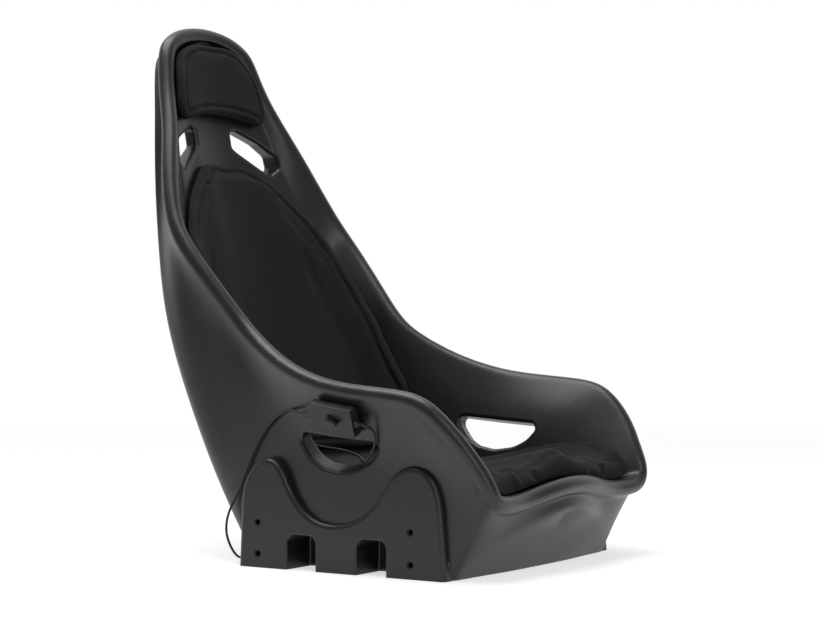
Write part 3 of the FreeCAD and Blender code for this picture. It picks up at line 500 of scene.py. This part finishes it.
def sewPad(piece, pad):
    # Edge border, sewn groove, soft folds and a seam attribute that darkens the cloth in the groove as
    # painted shade
    mesh = piece.data
    points, normals = places(mesh), facings(mesh)
    front = np.einsum("ij,ij->i", normals, towardsSitter(pad, points))
    facing = front >= sewing["edgeShare"]
    rim = np.where(np.abs(front) < sewing["edgeShare"])[0]
    tree = kdtree.KDTree(len(rim))
    for index in rim:
        tree.insert(points[index], int(index))
    tree.balance()
    reach = np.zeros(len(points))
    for index in np.where(facing)[0]:
        reach[index] = tree.find(points[index])[2]
    groove = np.exp(-((reach - pad["seam"]) / pad["seamWide"]) ** 2) * facing
    border = np.clip(1 - np.abs(reach - pad["seam"] / 2) / (pad["seam"] / 2), 0, 1) * facing
    inside = np.clip((reach - pad["seam"]) / sewing["slope"], 0, 1)
    folds = np.array([noise.noise(Vector(point) * sewing["foldsPerMetre"]) for point in points])
    folds = folds * np.clip(reach / sewing["foldFrom"], 0, 1)
    lift = border * pad["border"] - groove * pad["seamDeep"] - inside * pad["sunk"] + folds * pad["fold"]
    points = points + normals * lift[:, None]
    mesh.vertices.foreach_set("co", points.ravel())
    # The groove's depth goes to the seam attribute, which the cloth darkens as painted shade
    seam = mesh.attributes.new("seam", "FLOAT", "POINT")
    seam.data.foreach_set("value", groove.astype(np.float32))
    mesh.update()


def makePad(name, pad):
    piece = outerSkin(nodes[pad["node"]], name)
    makeActive(piece)
    piece.data.remesh_voxel_size = pad["voxel"]
    piece.data.use_remesh_preserve_volume = True
    bpy.ops.object.voxel_remesh()
    bpy.ops.object.modifier_add(type="SMOOTH")
    piece.modifiers[-1].factor = skin["smoothing"]
    piece.modifiers[-1].iterations = skin["smoothTimes"]
    bpy.ops.object.modifier_apply(modifier=piece.modifiers[-1].name)
    swell(piece, pad)
    bpy.ops.object.modifier_add(type="SUBSURF")
    piece.modifiers[-1].levels = skin["finer"]
    piece.modifiers[-1].render_levels = skin["finer"]
    bpy.ops.object.modifier_apply(modifier=piece.modifiers[-1].name)
    sewPad(piece, pad)
    bpy.ops.object.shade_smooth()
    giveFinish(piece, finishes["pad_fabric"])
    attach(piece, "seat")
    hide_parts(pad["node"], pad["foam"])
    print(name, "made,", len(piece.data.polygons), "faces")


makePad("headPad", headPad)
makePad("backPad", backPad)
makePad("seatPad", seatPad)


# Floor, world and lamps

studio = {"floorSize": 12.0, "floorDrop": 0.0005, "floorColour": 0.62, "floorRough": 0.9,
          "floorGlow": 0.62, "fadeFrom": 1.6, "fadeTo": 4.0, "worldLow": 0.1, "worldHigh": 0.4,
          "backdrop": (1.3, 0.9), "backdropFrom": 0.1}


def makeStage():
    bpy.ops.mesh.primitive_plane_add(size=studio["floorSize"], location=(0, 0, -studio["floorDrop"]))
    floor = bpy.context.object
    floor.name = "floor"
    finish = Finish("paleFloor")
    level = studio["floorColour"]
    away = finish.node("ShaderNodeVectorMath", {"operation": "LENGTH"}, {0: finish.place()}, outlet="Value")
    reach = studio["fadeTo"] - studio["fadeFrom"]
    kept = ((studio["fadeTo"] - away) * (1 / reach)).limited()
    finish.set(Base_Color=(level, level, level, 1), Roughness=studio["floorRough"])
    finish.shader.inputs["Specular IOR Level"].default_value = 0.0
    ray = finish.node("ShaderNodeLightPath", outlet="Is Camera Ray")
    ray = ray + finish.node("ShaderNodeLightPath", outlet="Is Glossy Ray")
    glow = finish.node("ShaderNodeEmission", {}, {"Strength": ray * studio["floorGlow"]})
    both = finish.tree.nodes.new("ShaderNodeAddShader")
    finish.tree.links.new(finish.shader.outputs[0], both.inputs[0])
    finish.tree.links.new(glow.socket, both.inputs[1])
    clear = finish.tree.nodes.new("ShaderNodeBsdfTransparent")
    mixed = finish.tree.nodes.new("ShaderNodeMixShader")
    finish.tree.links.new(kept.socket, mixed.inputs[0])
    finish.tree.links.new(clear.outputs[0], mixed.inputs[1])
    finish.tree.links.new(both.outputs[0], mixed.inputs[2])
    finish.tree.links.new(mixed.outputs[0], finish.tree.nodes["Material Output"].inputs["Surface"])
    floor.data.materials.append(finish.material)


def makeWorld():
    world = bpy.data.worlds.new("studio")
    bpy.context.scene.world = world
    world.use_nodes = True
    tree = world.node_tree
    back = tree.nodes["Background"]
    place = tree.nodes.new("ShaderNodeTexCoord")
    parts = tree.nodes.new("ShaderNodeSeparateXYZ")
    tree.links.new(place.outputs["Generated"], parts.inputs[0])
    height = Wire(tree, parts.outputs["Z"])
    rise = (height * 0.5 + 0.5).maths("MAXIMUM", 0.0)
    light = studio["worldLow"] + rise * (studio["worldHigh"] - studio["worldLow"])
    ray = tree.nodes.new("ShaderNodeLightPath")
    # Reflections meet the white backdrop where it stands, behind the seat
    acrossShare, alongShare = studio["backdrop"]
    behind = Wire(tree, parts.outputs["X"]) * acrossShare + Wire(tree, parts.outputs["Y"]) * alongShare
    behind = (behind - studio["backdropFrom"]).limited()
    mirrored = Wire(tree, ray.outputs["Is Glossy Ray"]) + Wire(tree, ray.outputs["Is Transmission Ray"])
    seen = (Wire(tree, ray.outputs["Is Camera Ray"]) + mirrored * behind).maths("MINIMUM", 1.0)
    strength = seen + (1 - seen) * light
    back.inputs["Color"].default_value = (1, 1, 1, 1)
    tree.links.new(strength.socket, back.inputs["Strength"])


lamps = [
    {"name": "overheadSoftbox", "place": (-0.3, 0.6, 2.7), "aim": (-0.29, 0.55, 0), "size": (1.8, 2.4),
     "power": 60},
    {"name": "frontStrip", "place": (-1.5, -2.7, 0.9), "aim": (0, 0.1, 0.5), "size": (0.1, 1.6),
     "power": 9},
    {"name": "frontSoftbox", "place": (-1.6, -2.6, 2.6), "aim": (0, -0.1, 0.3), "size": (0.8, 0.8),
     "power": 12},
]


def makeLamps():
    for lamp in lamps:
        bpy.ops.object.light_add(type="AREA", location=lamp["place"])
        light = bpy.context.object
        light.name = lamp["name"]
        light.data.shape = "RECTANGLE"
        light.data.size, light.data.size_y = lamp["size"]
        light.data.energy = lamp["power"]
        aim = Vector(lamp["aim"]) - Vector(lamp["place"])
        light.rotation_euler = aim.to_track_quat("-Z", "Y").to_euler()


makeStage()
makeWorld()
makeLamps()
bpy.context.scene.view_settings.view_transform = "Standard"
print("stage and lamps set")
